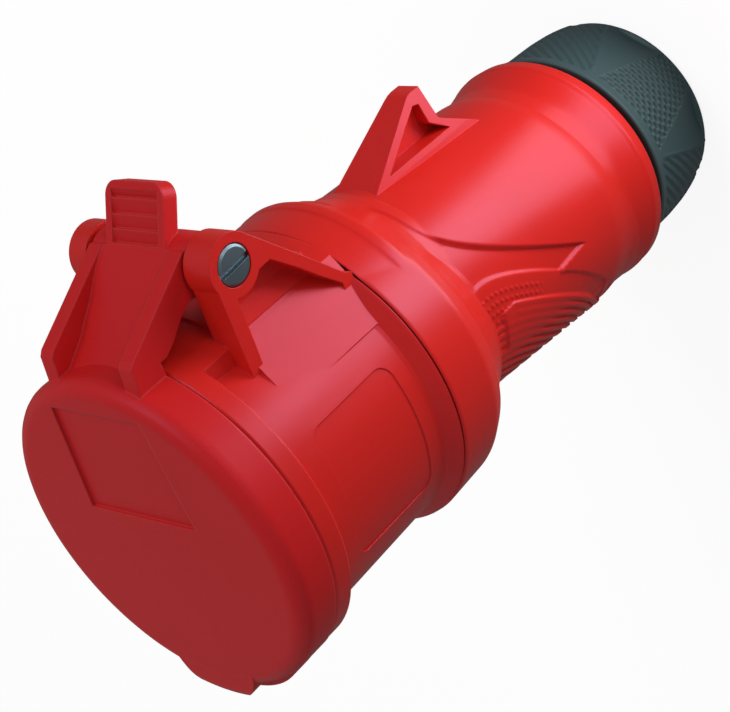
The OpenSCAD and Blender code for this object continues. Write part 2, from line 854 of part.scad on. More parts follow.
module rear_housing() {
    color("#c8201c")
    difference() {
        union() {
            rear_shell();
            // Stem with its thread's crests
            rotate_extrude()
                polygon([[0, stem_end], [stem_r - 0.6, stem_end], [stem_r, stem_end + 0.6],
                    [stem_r, z_rear + over], [0, z_rear + over]]);
            for (i = [0 : floor((z_rear - stem_end - 5) / thread_p)])
                rotate_extrude()
                    translate([0, stem_end + 1.4 + i * thread_p])
                        polygon([[stem_r - over, -0.2], [stem_r - 0.1, 0], [stem_r + thread_h, 0.8],
                            [stem_r + thread_h, 1.2], [stem_r - 0.1, 2], [stem_r - over, 2.2]]);
        }
        for (s = [0, 1])
            mirror([s, 0, 0])
                fin_pocket();
        // Inside: spigot bore, funnel, cavity, throat and the seal's seat
        rotate_extrude()
            polygon([[0, z_joint + over], [spigot_r + running, z_joint + over],
                [spigot_r + running, z_joint - spigot_l - 1], [sleeve_r - 2, st(12.9)],
                [sleeve_r - 4, st(16.2)], [sleeve_r - 6, st(19.2)], [sleeve_r - 7.6, st(22.2)],
                [sleeve_r - 9.6, st(25)], [cavity_r, st(28)], [cavity_r, z_rear + 6], [14, z_rear],
                [14, seal_front], [stem_in, seal_front], [stem_in, stem_end - over],
                [0, stem_end - over]]);
    }
}

module housing_gasket() {
    color("#26282a")
        tube(flange_r - 0.5, spigot_r + 0.05, z_joint, z_joint + joint_gap);
}

/* Cable gland */

module gland_ring() {
    color("#1d1f20")
        rotate_extrude()
            polygon([[stem_r + 0.06, z_rear - 0.02], [stem_r + 0.06, nut_l + 0.2],
                [nut_r - 2.3, nut_l + 0.2], [nut_r - 1.7, nut_l + 0.8], [nut_r - 1.7, z_rear - 0.02]]);
}

module gland_seal() {
    color("#2c2f31")
        rotate_extrude()
            polygon([[cable_r, seal_z], [stem_in - 2.4, seal_z], [stem_in - 0.05, seal_z + 2.6],
                [stem_in - 0.05, seal_front], [cable_r + 1, seal_front], [cable_r, seal_front - 1]]);
}

// Ring with claws that the thrust ring presses inwards
module gland_clamp() {
    claws = 8;
    base = thrust_t + nut_floor;
    color("#4b5256")
    difference() {
        rotate_extrude()
            polygon([[cable_r + 0.1, base + 0.4], [cable_r + 1.6, base], [stem_in - 1.6, base],
                [stem_in - 1.6, base + 1.6], [stem_in - 2.5, seal_z], [cable_r + 0.1, seal_z]]);
        for (i = [0 : claws - 1])
            rotate([0, 0, 360 / claws * (i + 0.5)])
                translate([0, -0.7, base - over])
                    cube([stem_in - 3, 1.4, seal_z - base - 0.6 + over]);
    }
}

module thrust_ring() {
    color("#a9adb0")
        tube(stem_r - 0.8, cable_r + 2, nut_floor + 0.02, nut_floor + thrust_t);
}

// Pairs of flat faces beside the grooves, narrowing towards the front along the swelling outline
module nut_facets() {
    for (k = [0 : 2], s = [-1, 1])
        rotate([0, 0, 120 * k + 60 + 27 * s])
            along_x(-9, 9)
                polygon(concat([[40, -over]], [for (z = [-over, 3, 6.7, 10.5, 14.5, 21.5])
                    [nut_at(z) * cos(16.9 - 0.78 * z), z]], [[40, 21.5]]));
}

// Slanted grooves in three fields, each cut by a thin slab whose inner edge follows the outline
module nut_grooves() {
    step = 3.9;
    turn = 1.44;
    slant = turn * PI / 180 * (nut_r - 1.5);
    deep = 0.3;
    for (k = [0 : 2], i = [-8 : 6]) {
        z0 = max(3.3, 2.8 - 1.67 * i);
        z1 = min(21.3, 54.6 - 7.22 * i);
        zm = (z0 + z1) / 2;
        rotate([0, 0, 120 * k + 90 + i * step + turn * (zm - nut_l / 2)])
            translate([0, 0, zm])
                rotate([-atan(slant), 0, 0])
                    rotate([90, 0, 0])
                        linear_extrude(0.8, center = true)
                            polygon(concat([[40, (z0 - zm) * sqrt(1 + slant * slant)]], [for (j = [0 : 6])
                                let (z = (z1 - z0) * j / 6 + z0 - zm)
                                [sqrt(pow(nut_at(z + zm) - deep, 2) - pow(slant * z, 2)),
                                    z * sqrt(1 + slant * slant)]],
                                [[40, (z1 - zm) * sqrt(1 + slant * slant)]]));
    }
}

module gland_nut() {
    color("#4b5f62")
    difference() {
        // Gently swelling outline
        rotate_extrude()
            polygon(concat([[0, 0]], [for (p = NUT_SIDE) [nut_r - p[1], p[0]]], [[0, nut_l]]));
        nut_facets();
        nut_grooves();
        rotate_extrude()
            polygon([[0, -over], [cable_r + 3.4, -over], [cable_r + 2.6, nut_floor / 2],
                [cable_r + 2.6, nut_floor], [stem_r - 0.4, nut_floor],
                [stem_r - 0.4, stem_end - 1.4], [stem_r + thread_h + slack, stem_end - 0.8],
                [stem_r + thread_h + slack, nut_l + over], [0, nut_l + over]]);
    }
}

front_housing();
keyway_channel();
rear_housing();
housing_gasket();
lid();
lid_gasket();
hinge_screw();
hinge_insert();
lid_spring();
contact_carrier();
carrier_flange();
carrier_seal();
terminal_carrier();
centre_screw();
contact_l1();
contact_l2();
contact_l3();
contact_n();
contact_pe();
sleeve_l1();
sleeve_l2();
sleeve_l3();
sleeve_n();
sleeve_pe();
contact_springs();
terminal_screws();
gland_ring();
gland_seal();
gland_clamp();
thrust_ring();
gland_nut();
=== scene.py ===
"""Pin and sleeve cable connector with a sprung lid: camera, light, finishes and fine detail.

Lengths in the shape functions are in millimetres and become metres where a mesh is made. Angles
round the part's axis run from +Y towards +X, in radians.
"""
import json
import logging
from dataclasses import dataclass, field
from enum import Enum

import bpy
import numpy as np
from mathutils import Matrix, Vector

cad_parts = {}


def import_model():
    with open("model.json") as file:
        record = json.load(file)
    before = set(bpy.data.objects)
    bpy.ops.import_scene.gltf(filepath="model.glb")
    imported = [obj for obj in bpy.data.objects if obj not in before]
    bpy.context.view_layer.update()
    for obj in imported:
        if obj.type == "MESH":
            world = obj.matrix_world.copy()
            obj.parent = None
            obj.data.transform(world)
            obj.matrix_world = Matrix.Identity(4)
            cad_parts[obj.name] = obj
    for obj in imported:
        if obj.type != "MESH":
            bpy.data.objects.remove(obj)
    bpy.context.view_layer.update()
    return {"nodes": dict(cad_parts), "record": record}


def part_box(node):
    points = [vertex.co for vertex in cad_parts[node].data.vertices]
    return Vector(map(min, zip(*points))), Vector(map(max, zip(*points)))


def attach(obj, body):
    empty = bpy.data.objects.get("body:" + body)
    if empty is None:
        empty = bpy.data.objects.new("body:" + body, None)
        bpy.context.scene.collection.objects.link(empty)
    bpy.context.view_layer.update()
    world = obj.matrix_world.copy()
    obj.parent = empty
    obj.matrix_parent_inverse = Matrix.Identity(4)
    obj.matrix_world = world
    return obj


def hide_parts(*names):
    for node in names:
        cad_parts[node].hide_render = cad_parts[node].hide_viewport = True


log = logging.getLogger("connector")
MM = 0.001
PHOTO_WIDTH = 730
SENSOR_MM = 36.0
# Tint of the sheen on red plastic, and how much paler than its face the painted highlight on a moulded edge
# is
COOL = (0.9, 0.6, 1.0)
HIGHLIGHT_GAIN = 1.25
HIGHLIGHT_LIFT = 0.06

# What a node's input can take: a socket to join, a number or a colour
Socket = bpy.types.NodeSocket | float | tuple


class Ground(Enum):
    """Base colours of the part's materials, as linear values."""

    RED = (0.66, 0.0175, 0.011)
    LID_RED = (0.62, 0.016, 0.016)
    SLATE = (0.048, 0.086, 0.094)
    CLAMP = (0.060, 0.075, 0.085)
    BLACK = (0.012, 0.013, 0.014)
    GRAPHITE = (0.045, 0.050, 0.055)
    IVORY = (0.60, 0.62, 0.57)
    ZINC = (0.17, 0.23, 0.27)
    SPRING = (0.50, 0.51, 0.52)
    BRASS = (0.72, 0.50, 0.20)


# Node trees


class Wires:
    """Short hand for placing and joining nodes in one tree."""

    def __init__(self, tree: bpy.types.NodeTree) -> None:
        """Keeps the tree.

        Args:
            tree: The node tree to work in.
        """
        self.tree = tree

    def fill(self, inlet: bpy.types.NodeSocket, value: Socket) -> None:
        """Joins a socket to an input, or sets the input's value.

        Args:
            inlet: The input.
            value: A socket to join, or a value to set.
        """
        if isinstance(value, bpy.types.NodeSocket):
            self.tree.links.new(value, inlet)
        else:
            inlet.default_value = value

    def put(self, kind: str, values: dict | None = None, **settings: object) -> bpy.types.Node:
        """Places a node, sets its properties and fills its inputs.

        Args:
            kind: The node's type without its "ShaderNode" prefix.
            values: For each input, by name or number, a socket to join or a value to set.
            **settings: Properties of the node and their values.

        Returns:
            The node.
        """
        node = self.tree.nodes.new("ShaderNode" + kind)
        for key, value in settings.items():
            setattr(node, key, value)
        for key, value in (values or {}).items():
            self.fill(node.inputs[key], value)
        return node

    def calc(self, operation: str, *terms: Socket, clamp: bool = False) -> bpy.types.NodeSocket:
        """Adds a Math node.

        Args:
            operation: The operation's name.
            *terms: Sockets or numbers.
            clamp: Whether the result is held between 0 and 1.

        Returns:
            The result's socket.
        """
        node = self.put("Math", dict(enumerate(terms)), operation=operation, use_clamp=clamp)
        return node.outputs[0]

    def blend(self, share: Socket, first: Socket, second: Socket) -> bpy.types.NodeSocket:
        """Mixes two colours.

        Args:
            share: Share of the second colour.
            first: Colour at share 0.
            second: Colour at share 1.

        Returns:
            The colour's socket.
        """
        node = self.tree.nodes.new("ShaderNodeMix")
        node.data_type = "RGBA"
        for number, value in ((0, share), (6, first), (7, second)):
            self.fill(node.inputs[number], value)
        return node.outputs[2]


def new_group(name: str, inputs: dict[str, float | tuple], outputs: dict[str, str]) -> tuple:
    """Makes an empty node group with its sockets.

    Args:
        name: Name of the group.
        inputs: Default of each input; a tuple makes a colour input, a number a value.
        outputs: Socket kind of each output: Float, Color or Vector.

    Returns:
        The group, its Wires, the inputs' node and the outputs' node.
    """
    group = bpy.data.node_groups.new(name, "ShaderNodeTree")
    for key, value in inputs.items():
        kind = "NodeSocketColor" if isinstance(value, tuple) else "NodeSocketFloat"
        group.interface.new_socket(key, in_out="INPUT", socket_type=kind).default_value = value
    for key, kind in outputs.items():
        group.interface.new_socket(key, in_out="OUTPUT", socket_type="NodeSocket" + kind)
    return group, Wires(group), group.nodes.new("NodeGroupInput"), group.nodes.new("NodeGroupOutput")


class Effects:
    """The node groups that the finishes share."""

    def __init__(self) -> None:
        """Builds the groups."""
        self.grain = self._grain()
        self.mottle = self._mottle()
        self.edges = self._edges()
        self.rub = self._rub()

    def _grain(self) -> bpy.types.NodeTree:
        """Grain of an eroded mould: two sizes of noise summed into a height, and a tone for roughness.

        Returns:
            The group.
        """
        group, w, start, end = new_group("mould_grain", {"Size": 0.4, "Coarse": 0.35},
                                         {"Height": "Float", "Tone": "Float"})
        place = w.put("TexCoord").outputs["Object"]
        scale = w.calc("DIVIDE", 1000.0, start.outputs["Size"])
        fine = w.put("TexNoise", {"Vector": place, "Scale": scale, "Detail": 2.0, "Roughness": 0.6})
        wide = w.put("TexNoise", {"Vector": place, "Scale": w.calc("MULTIPLY", scale, 0.27), "Detail": 1.0})
        both = w.calc("MULTIPLY_ADD", w.calc("SUBTRACT", wide.outputs[0], 0.5), start.outputs["Coarse"],
                      fine.outputs[0])
        w.tree.links.new(both, end.inputs["Height"])
        w.tree.links.new(wide.outputs[0], end.inputs["Tone"])
        return group

    def _mottle(self) -> bpy.types.NodeTree:
        """Slow drift of a colour, as pigment and flow lines leave in a moulding.

        Returns:
            The group.
        """
        inputs = {"Color": (0.5, 0.5, 0.5, 1.0), "Amount": 0.1, "Scale": 40.0}
        group, w, start, end = new_group("pigment_drift", inputs, {"Color": "Color"})
        place = w.put("TexCoord").outputs["Object"]
        drift = w.put("TexNoise", {"Vector": place, "Scale": start.outputs["Scale"], "Detail": 3.0,
                                   "Distortion": 0.6})
        gain = w.calc("MULTIPLY_ADD", w.calc("SUBTRACT", drift.outputs[0], 0.5), start.outputs["Amount"], 1.0)
        scaled = w.put("VectorMath", {0: start.outputs["Color"], "Scale": gain}, operation="SCALE")
        w.tree.links.new(scaled.outputs[0], end.inputs["Color"])
        return group

    def _edges(self) -> bpy.types.NodeTree:
        """Rounded edges: a normal that is averaged over a radius, and a mask of where it turns away.

        Returns:
            The group.
        """
        group, w, start, end = new_group("moulded_edges", {"Radius": 0.0003},
                                         {"Normal": "Vector", "Edge": "Float"})
        bevel = w.put("Bevel", {"Radius": start.outputs["Radius"]}, samples=6)
        plain = w.put("NewGeometry").outputs["Normal"]
        dot = w.put("VectorMath", {0: bevel.outputs[0], 1: plain}, operation="DOT_PRODUCT")
        turned = w.calc("MULTIPLY", w.calc("SUBTRACT", 1.0, dot.outputs["Value"]), 4.0, clamp=True)
        w.tree.links.new(bevel.outputs[0], end.inputs["Normal"])
        w.tree.links.new(turned, end.inputs["Edge"])
        return group

    def _rub(self) -> bpy.types.NodeTree:
        """Handling marks: faint long scratches and worn patches that change the gloss.

        Returns:
            The group.
        """
        group, w, start, end = new_group("handling_marks", {"Amount": 0.1}, {"Rough": "Float"})
        place = w.put("TexCoord").outputs["Object"]
        stretched = w.put("Mapping", {"Vector": place, "Scale": (900.0, 120.0, 60.0),
                                      "Rotation": (0.5, 0.3, 0.2)})
        lines = w.put("TexNoise", {"Vector": stretched.outputs[0], "Scale": 1.0, "Detail": 2.0})
        patch = w.put("TexNoise", {"Vector": place, "Scale": 55.0, "Detail": 2.0})
        fine = w.calc("MULTIPLY", w.calc("SUBTRACT", lines.outputs[0], 0.62, clamp=True), 3.0, clamp=True)
        spread = w.calc("MULTIPLY", fine, patch.outputs[0])
        total = w.calc("MULTIPLY_ADD", w.calc("SUBTRACT", patch.outputs[0], 0.5), 0.6, spread)
        w.tree.links.new(w.calc("MULTIPLY", total, start.outputs["Amount"]), end.inputs["Rough"])
        return group


# Finishes


def new_material(name: str) -> tuple[bpy.types.Material, Wires, bpy.types.Node]:
    """Makes a material with its Principled BSDF.

    Args:
        name: Name of the material.

    Returns:
        The material, its Wires and the Principled BSDF.
    """
    mat = bpy.data.materials.new(name)
    mat.use_nodes = True
    return mat, Wires(mat.node_tree), mat.node_tree.nodes["Principled BSDF"]


@dataclass(frozen=True)
class Moulded:
    """Moulded plastic or rubber with mould grain, pigment drift and softened edges.

    Grain and edge sizes are in mm. The shares are of colour drift, of a paler colour painted on an
    edge as a highlight and of handling marks in the gloss.
    """

    name: str
    ground: Ground
    roughness: float
    grain_mm: float = 0.35
    grain_height: float = 0.02
    drift: float = 0.10
    edge_mm: float = 0.30
    # Share of a paler colour painted on rounded edges as a highlight
    edge_highlight: float = 0.12
    specular: float = 0.5
    tint: tuple[float, float, float] = (1.0, 1.0, 1.0)
    marks: float = 0.10

    def make(self, effects: Effects) -> bpy.types.Material:
        """Makes the material.

        Args:
            effects: The shared node groups.

        Returns:
            The material.
        """
        mat, w, bsdf = new_material(self.name)
        bsdf.inputs["Specular IOR Level"].default_value = self.specular
        bsdf.inputs["Specular Tint"].default_value = (*self.tint, 1.0)
        grain = w.put("Group", node_tree=effects.grain)
        grain.inputs["Size"].default_value = self.grain_mm
        drift = w.put("Group", node_tree=effects.mottle)
        drift.inputs["Color"].default_value = (*self.ground.value, 1.0)
        drift.inputs["Amount"].default_value = self.drift
        colour = drift.outputs["Color"]
        bump = w.put("Bump", {"Height": grain.outputs["Height"], "Strength": 1.0,
                              "Distance": self.grain_height * MM})
        if self.edge_mm > 0:
            edges = w.put("Group", node_tree=effects.edges)
            edges.inputs["Radius"].default_value = self.edge_mm * MM
            w.tree.links.new(edges.outputs["Normal"], bump.inputs["Normal"])
            # Painted highlight: the colour is blended towards a paler red where the rounded normal turns away
            # at an edge
            painted_highlight = tuple(min(1.0, c * HIGHLIGHT_GAIN + HIGHLIGHT_LIFT) for c in self.ground.value) + (1.0,)
            share = w.calc("MULTIPLY", edges.outputs["Edge"], self.edge_highlight)
            colour = w.blend(share, colour, painted_highlight)
        marks = w.put("Group", node_tree=effects.rub)
        marks.inputs["Amount"].default_value = self.marks
        tone = w.calc("MULTIPLY_ADD", w.calc("SUBTRACT", grain.outputs["Tone"], 0.5), 0.08, self.roughness)
        w.tree.links.new(colour, bsdf.inputs["Base Color"])
        w.tree.links.new(w.calc("ADD", tone, marks.outputs["Rough"]), bsdf.inputs["Roughness"])
        w.tree.links.new(bump.outputs[0], bsdf.inputs["Normal"])
        return mat


@dataclass(frozen=True)
class Metal:
    """Bare or plated metal with the fine lines of turning or drawing."""

    name: str
    ground: Ground
    roughness: float
    line_scale: tuple[float, float, float] = (300.0, 2500.0, 2500.0)
    line_height: float = 0.004
    tarnish: float = 0.18

    def make(self, effects: Effects) -> bpy.types.Material:
        """Makes the material.

        Args:
            effects: The shared node groups.

        Returns:
            The material.
        """
        mat, w, bsdf = new_material(self.name)
        bsdf.inputs["Metallic"].default_value = 1.0
        place = w.put("TexCoord").outputs["Object"]
        lined = w.put("Mapping", {"Vector": place, "Scale": self.line_scale})
        lines = w.put("TexNoise", {"Vector": lined.outputs[0], "Scale": 1.0, "Detail": 3.0})
        drift = w.put("Group", node_tree=effects.mottle)
        drift.inputs["Color"].default_value = (*self.ground.value, 1.0)
        drift.inputs["Amount"].default_value = self.tarnish
        drift.inputs["Scale"].default_value = 220.0
        edges = w.put("Group", node_tree=effects.edges)
        edges.inputs["Radius"].default_value = 0.15 * MM
        bump = w.put("Bump", {"Height": lines.outputs[0], "Distance": self.line_height * MM,
                              "Normal": edges.outputs["Normal"]})
        marks = w.put("Group", node_tree=effects.rub)
        marks.inputs["Amount"].default_value = 0.2
        rough = w.calc("MULTIPLY_ADD", lines.outputs[0], 0.12, self.roughness)
        w.tree.links.new(drift.outputs["Color"], bsdf.inputs["Base Color"])
        w.tree.links.new(w.calc("ADD", rough, marks.outputs["Rough"]), bsdf.inputs["Roughness"])
        w.tree.links.new(bump.outputs[0], bsdf.inputs["Normal"])
        return mat


FINISHES: dict[str, Moulded | Metal] = {
    "red_plastic": Moulded("red_moulding", Ground.RED, 0.36, grain_height=0.006, specular=0.34,
                           tint=COOL),
    # The lid's edges get a strong painted highlight
    "lid_plastic": Moulded("lid_moulding", Ground.LID_RED, 0.42, grain_mm=0.30, grain_height=0.010,
                           edge_mm=0.6, edge_highlight=0.6, specular=0.20, tint=COOL),
    "nut_plastic": Moulded("slate_nut", Ground.SLATE, 0.45, grain_mm=0.25, grain_height=0.012,
                           edge_mm=0.0, specular=0.30),
    "clamp_plastic": Moulded("clamp_moulding", Ground.CLAMP, 0.50),
    "carrier_plastic": Moulded("graphite_insert", Ground.GRAPHITE, 0.48),
    "cover_plastic": Moulded("ivory_cover", Ground.IVORY, 0.50, drift=0.06),
    "black_rubber": Moulded("black_rubber", Ground.BLACK, 0.62, grain_mm=0.2, grain_height=0.02,
                            specular=0.4),
    "steel": Metal("zinc_plated_steel", Ground.ZINC, 0.34),
    "spring_steel": Metal("drawn_spring_wire", Ground.SPRING, 0.26),
    "brass": Metal("turned_brass", Ground.BRASS, 0.24),
}
GRIP_FINISH = Moulded("red_grip", Ground.RED, 0.34, grain_height=0.006, edge_mm=0.0, specular=0.33,
                      tint=COOL)


# Surfaces


def ramp(x: np.ndarray, foot: float | np.ndarray, top: float | np.ndarray) -> np.ndarray:
    """Eased step: 0 up to the foot, 1 from the top on, and 3t^2 - 2t^3 between, with t the share of the way.

    Args:
        x: Where the step is read.
        foot: Place where it starts.
        top: Place where it is full, on either side of the foot.

    Returns:
        The step's height at each place.
    """
    t = np.clip((x - foot) / (top - foot), 0.0, 1.0)
    return t * t * (3.0 - 2.0 * t)


def through(x: np.ndarray, *points: tuple[float, float]) -> np.ndarray:
    """Straight lines through points: each value lies between its two neighbours in proportion.

    Args:
        x: Where the lines are read.
        *points: Place and value of each point, by rising place.

    Returns:
        The values.
    """
    places, values = np.array(points).T
    return np.interp(x, places, values)


def bezier(a: tuple, b: tuple, c: tuple, d: tuple, n: int) -> np.ndarray:
    """Points of a cubic Bezier curve: each end and control point weighted by its cubic share.

    Args:
        a: Start point.
        b: First control point.
        c: Second control point.
        d: End point.
        n: Number of steps.

    Returns:
        The n + 1 points.
    """
    t = np.linspace(0.0, 1.0, n + 1)[:, None]
    return (np.array(a) * (1 - t) ** 3 + np.array(b) * 3 * t * (1 - t) ** 2
            + np.array(c) * 3 * t * t * (1 - t) + np.array(d) * t ** 3)


def edge_distance(line: np.ndarray, y: np.ndarray, z: np.ndarray) -> np.ndarray:
    """Distance from points to an open line of straight steps: the least over all its steps.

    Args:
        line: The line's points.
        y: First coordinate of the points.
        z: Second coordinate of the points.

    Returns:
        The distances.
    """
    best = np.full(y.shape, 1e9)
    for (y0, z0), (y1, z1) in zip(line[:-1], line[1:]):
        ey, ez = y1 - y0, z1 - z0
        t = np.clip(((y - y0) * ey + (z - z0) * ez) / (ey * ey + ez * ez), 0.0, 1.0)
        best = np.minimum(best, np.hypot(y - y0 - t * ey, z - z0 - t * ez))
    return best


def inside(outline: np.ndarray, y: np.ndarray, z: np.ndarray) -> np.ndarray:
    """Even and odd test: a point is inside where a ray from it crosses the outline at odd times.

    Args:
        outline: The closed outline's points.
        y: First coordinate of the points.
        z: Second coordinate of the points.

    Returns:
        Whether each point is inside.
    """
    odd = np.zeros(y.shape, bool)
    for (y0, z0), (y1, z1) in zip(outline, np.roll(outline, -1, axis=0)):
        if z0 != z1:
            crosses = ((z0 > z) != (z1 > z)) & (y < (y1 - y0) * (z - z0) / (z1 - z0) + y0)
            odd ^= crosses
    return odd


def off_centre(shift: np.ndarray | float, radius: np.ndarray | float, angle: np.ndarray) -> np.ndarray:
    """Distance from the axis to a circle whose centre lies at y = shift.

    The centre's share along the ray plus the half chord: s cos(a) + sqrt(r^2 - s^2 sin^2(a)).

    Args:
        shift: Height s of the centre.
        radius: Radius r of the circle.
        angle: Angle a from +Y.

    Returns:
        The distances.
    """
    return shift * np.cos(angle) + np.sqrt(radius ** 2 - (shift * np.sin(angle)) ** 2)


def ring_object(name: str, points: np.ndarray, finish: bpy.types.Material) -> bpy.types.Object:
    """Makes a closed ring from a grid whose rows and columns both join up.

    Args:
        name: Name of the piece.
        points: Array of angle by profile point by coordinate, in mm; the profile runs clockwise
            in the plane of radius and Z, so that faces look outwards.
        finish: Its material.

    Returns:
        The object.
    """
    turns, around = points.shape[:2]
    index = np.arange(turns * around).reshape(turns, around)
    nxt = np.roll(index, -1, axis=0)
    corners = [index, np.roll(index, -1, axis=1), np.roll(nxt, -1, axis=1), nxt]
    quads = np.stack(corners, axis=-1).reshape(-1, 4)
    mesh = bpy.data.meshes.new(name)
    mesh.vertices.add(turns * around)
    mesh.vertices.foreach_set("co", (points * MM).astype(np.float32).ravel())
    mesh.loops.add(quads.size)
    mesh.loops.foreach_set("vertex_index", quads.astype(np.int32).ravel())
    mesh.polygons.add(len(quads))
    mesh.polygons.foreach_set("loop_start", np.arange(0, quads.size, 4, dtype=np.int32))
    mesh.polygons.foreach_set("use_smooth", np.ones(len(quads), bool))
    mesh.update(calc_edges=True)
    mesh.validate()
    mesh.materials.append(finish)
    obj = bpy.data.objects.new(name, mesh)
    bpy.context.scene.collection.objects.link(obj)
    return obj


def round_axis(radius: np.ndarray, angle: np.ndarray, z: np.ndarray) -> np.ndarray:
    """Turns radius, angle and height into x, y, z, with the angle from +Y towards +X.

    Args:
        radius: Distance from the axis.
        angle: Angle round the axis.
        z: Height along the axis.

    Returns:
        The points, with x, y and z as the last axis.
    """
    return np.stack([radius * np.sin(angle), radius * np.cos(angle), z + 0 * radius], axis=-1)


def face_of(node: str, end: int, axis: int) -> float:
    """Reads one face of a CAD node's box.

    Args:
        node: Name of the node.
        end: 0 for the low face, 1 for the high one.
        axis: 0, 1 or 2 for X, Y or Z.

    Returns:
        The face's place in mm, to a hundredth.
    """
    return round(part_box(node)[end][axis] / MM, 2)


@dataclass
class GripSkin:
    """Outer surface of the rear housing, with soft steps, ribs and grip dots.

    It lies closely over the solid: the waist's cone, the collar's bevel, the crown over its top
    and the barrel's end, and on them the hood, the pad, the blade and the ribs. Places on it are
    given by y, the height over the axis, and d, the distance towards the rear from the lead, a
    line on the collar just behind the joint. A pair of places holds a ramp's foot and its top.
    """

    z_joint: float
    z_rear: float
    collar_r: float
    lead: float
    sleeve_r: float = 32.0
    lift: float = 0.07
    wall: float = 0.6
    columns: int = 380
    side_bias: float = 0.24
    back_step: int = 8
    # Waist: a cone that is measured at one height, with its centre's shift and climb there
    waist_r: float = 26.1
    waist_z: float = 66.0
    waist_taper: float = 0.02
    waist_shift: float = 1.6
    waist_climb: float = 0.0796
    crown_shift: float = 5.6
    crown_r: float = 30.6
    fillet: float = 0.25
    # Steps on the waist, each as a height
    hood_h: float = 0.9
    crown_step: float = 0.4
    pad_h: float = 0.5
    blade_h: float = 0.2
    fill_h: float = 0.34
    rib_h: float = 0.4
    lower_rib_h: float = 0.22
    arc_h: float = 0.30
    dot_h: float = 0.30
    # Ribs and dots: pitch across, pitch along, a dot's sizes and its place in a row
    rib_pitch: float = 2.05
    dot_pitch: float = 1.45
    dot_long: float = 0.8
    dot_wide: float = 1.2
    dot_row: float = 0.35
    dotted_rows: float = 4.8
    ribs_after_dots: float = 30.0
    rib_run_in: float = 2.5
    # Ramps across one pitch, and over the depth under the pad's edge in pitches
    rib_lower_flank: tuple[float, float] = (0.7, 0.5)
    rib_upper_flank: tuple[float, float] = (0.84, 1.0)
    dot_flank: tuple[float, float] = (0.567, 0.147)
    first_rib: tuple[float, float] = (2.8, 2.95)
    first_dot: tuple[float, float] = (0.6, 0.9)
    last_dot: tuple[float, float] = (5.3, 4.9)
    # Ramps along the axis
    dots_start: tuple[float, float] = (17.0, 18.5)
    dots_end: tuple[float, float] = (41.0, 38.0)
    hood_run_out: tuple[float, float] = (72.5, 64.5)
    blade_start: tuple[float, float] = (25.0, 30.0)
    blade_hands_over: tuple[float, float] = (38.0, 34.0)
    pad_stop: float = 65.0
    # Ramps over the height
    blade_floor: tuple[float, float] = (-7.5, -9.5)
    fill_zone: tuple[float, float] = (-13.5, -7.5)
    tall_zone: tuple[float, float] = (-9.0, -14.0)
    # Feet of the steps, as distances from their outlines
    wave_foot: float = 0.35
    barb_foot: tuple[float, float] = (1.375, 0.125)
    hood_end_foot: float = 0.4
    pad_end_foot: float = 0.3
    pad_foot: tuple[float, float] = (1.05, 0.05)
    blade_foot: tuple[float, float] = (-0.55, -0.05)

    @classmethod
    def fitted(cls) -> "GripSkin":
        """Takes the ends and the collar's radius from the CAD.

        Returns:
            The skin.
        """
        ring_space, joint_to_lead = 2.0, 2.1
        joint = face_of("rear_housing", 1, 2)
        return cls(z_joint=joint, z_rear=face_of("gland_nut", 1, 2) + ring_space,
                   collar_r=-face_of("rear_housing", 0, 1), lead=joint - joint_to_lead)

    def __post_init__(self) -> None:
        """Draws the outlines of hood, pad and blade, as y and d."""
        crest = bezier((34.6, 12), (31.5, 17.5), (30.5, 19), (26.8, 19.4), 12)
        wave = bezier((26.8, 19.4), (20, 20.3), (15.5, 26.5), (-0.4, 55.7), 40)
        self.wave = np.vstack([crest[:-1], wave])
        self.pad_edge = bezier((8, 19.6), (10.6, 23.5), (8.5, 30), (-1.6, 46.1), 30)
        self.pad_end = bezier((-1.6, 46.2), (-4.5, 51), (-9.5, 58), (-18.8, 66.5), 20)
        self.barb = np.array([(-0.4, 55.7), (-1.6, 46.2)])
        self.blade_edge = bezier((0.8, 30), (-2, 36), (-7, 46), (-15.5, 57), 24)
        # Closed outlines run on past the skin's ends, above it and below it
        above, below, before, after = 50, -45, 9, 90
        self.hood_line = np.vstack([[(above, 12)], self.wave, self.pad_end,
                                    [(below, 66.5), (below, after), (above, after)]])
        self.pad_line = np.vstack([[(below, before), (8, before)], self.pad_edge, self.pad_end,
                                   [(below, 68)]])

    def waist(self, angle: np.ndarray, z: np.ndarray, rise: float | np.ndarray) -> np.ndarray:
        """Cone whose radius falls by its taper per mm and whose centre climbs towards the collar.

        Args:
            angle: Angle round the axis.
            z: Height along the axis.
            rise: Height over the plain cone.

        Returns:
            The radius from the axis.
        """
        up = z - self.waist_z
        return off_centre(self.waist_shift + up * self.waist_climb,
                          self.waist_r - self.waist_taper * up + rise, angle)

    def bevel(self, d: np.ndarray) -> np.ndarray:
        """Section of the collar and of the bevel that falls from it to the waist, as straight steps.

        Args:
            d: Distance from the lead.

        Returns:
            The radius, from the axis.
        """
        s, c = self.sleeve_r, self.collar_r
        return through(d, (-2.1, c - 0.32), (-1.95, c - 0.1), (-1.8, c), (8.4, c - 0.45), (9.1, c - 0.5),
                       (9.8, c - 0.72), (10.6, c - 1.1), (13.2, s + 0.4), (16.2, s - 2), (19.2, s - 4),
                       (22.2, s - 5.6), (25, s - 7.4), (28, s - 8.3), (31, s - 8.7), (31.6, 0))

    def crown(self, d: np.ndarray) -> np.ndarray:
        """Section of the collar's raised top, with a small lip and a bevel, as straight steps.

        Args:
            d: Distance from the lead.

        Returns:
            The radius, from the crown's centre.
        """
        k = self.crown_r
        return through(d, (-2.1, k - 0.2), (-1.9, k), (6.0, k), (6.2, k + 0.2), (8.4, k + 0.2),
                       (9.1, k - 0.05), (10.2, k - 0.8), (12.2, k - 2.2), (14.2, k - 3.4),
                       (16.2, k - 4.5), (18.2, k - 5.4), (22, k - 6.2), (22.5, 12))

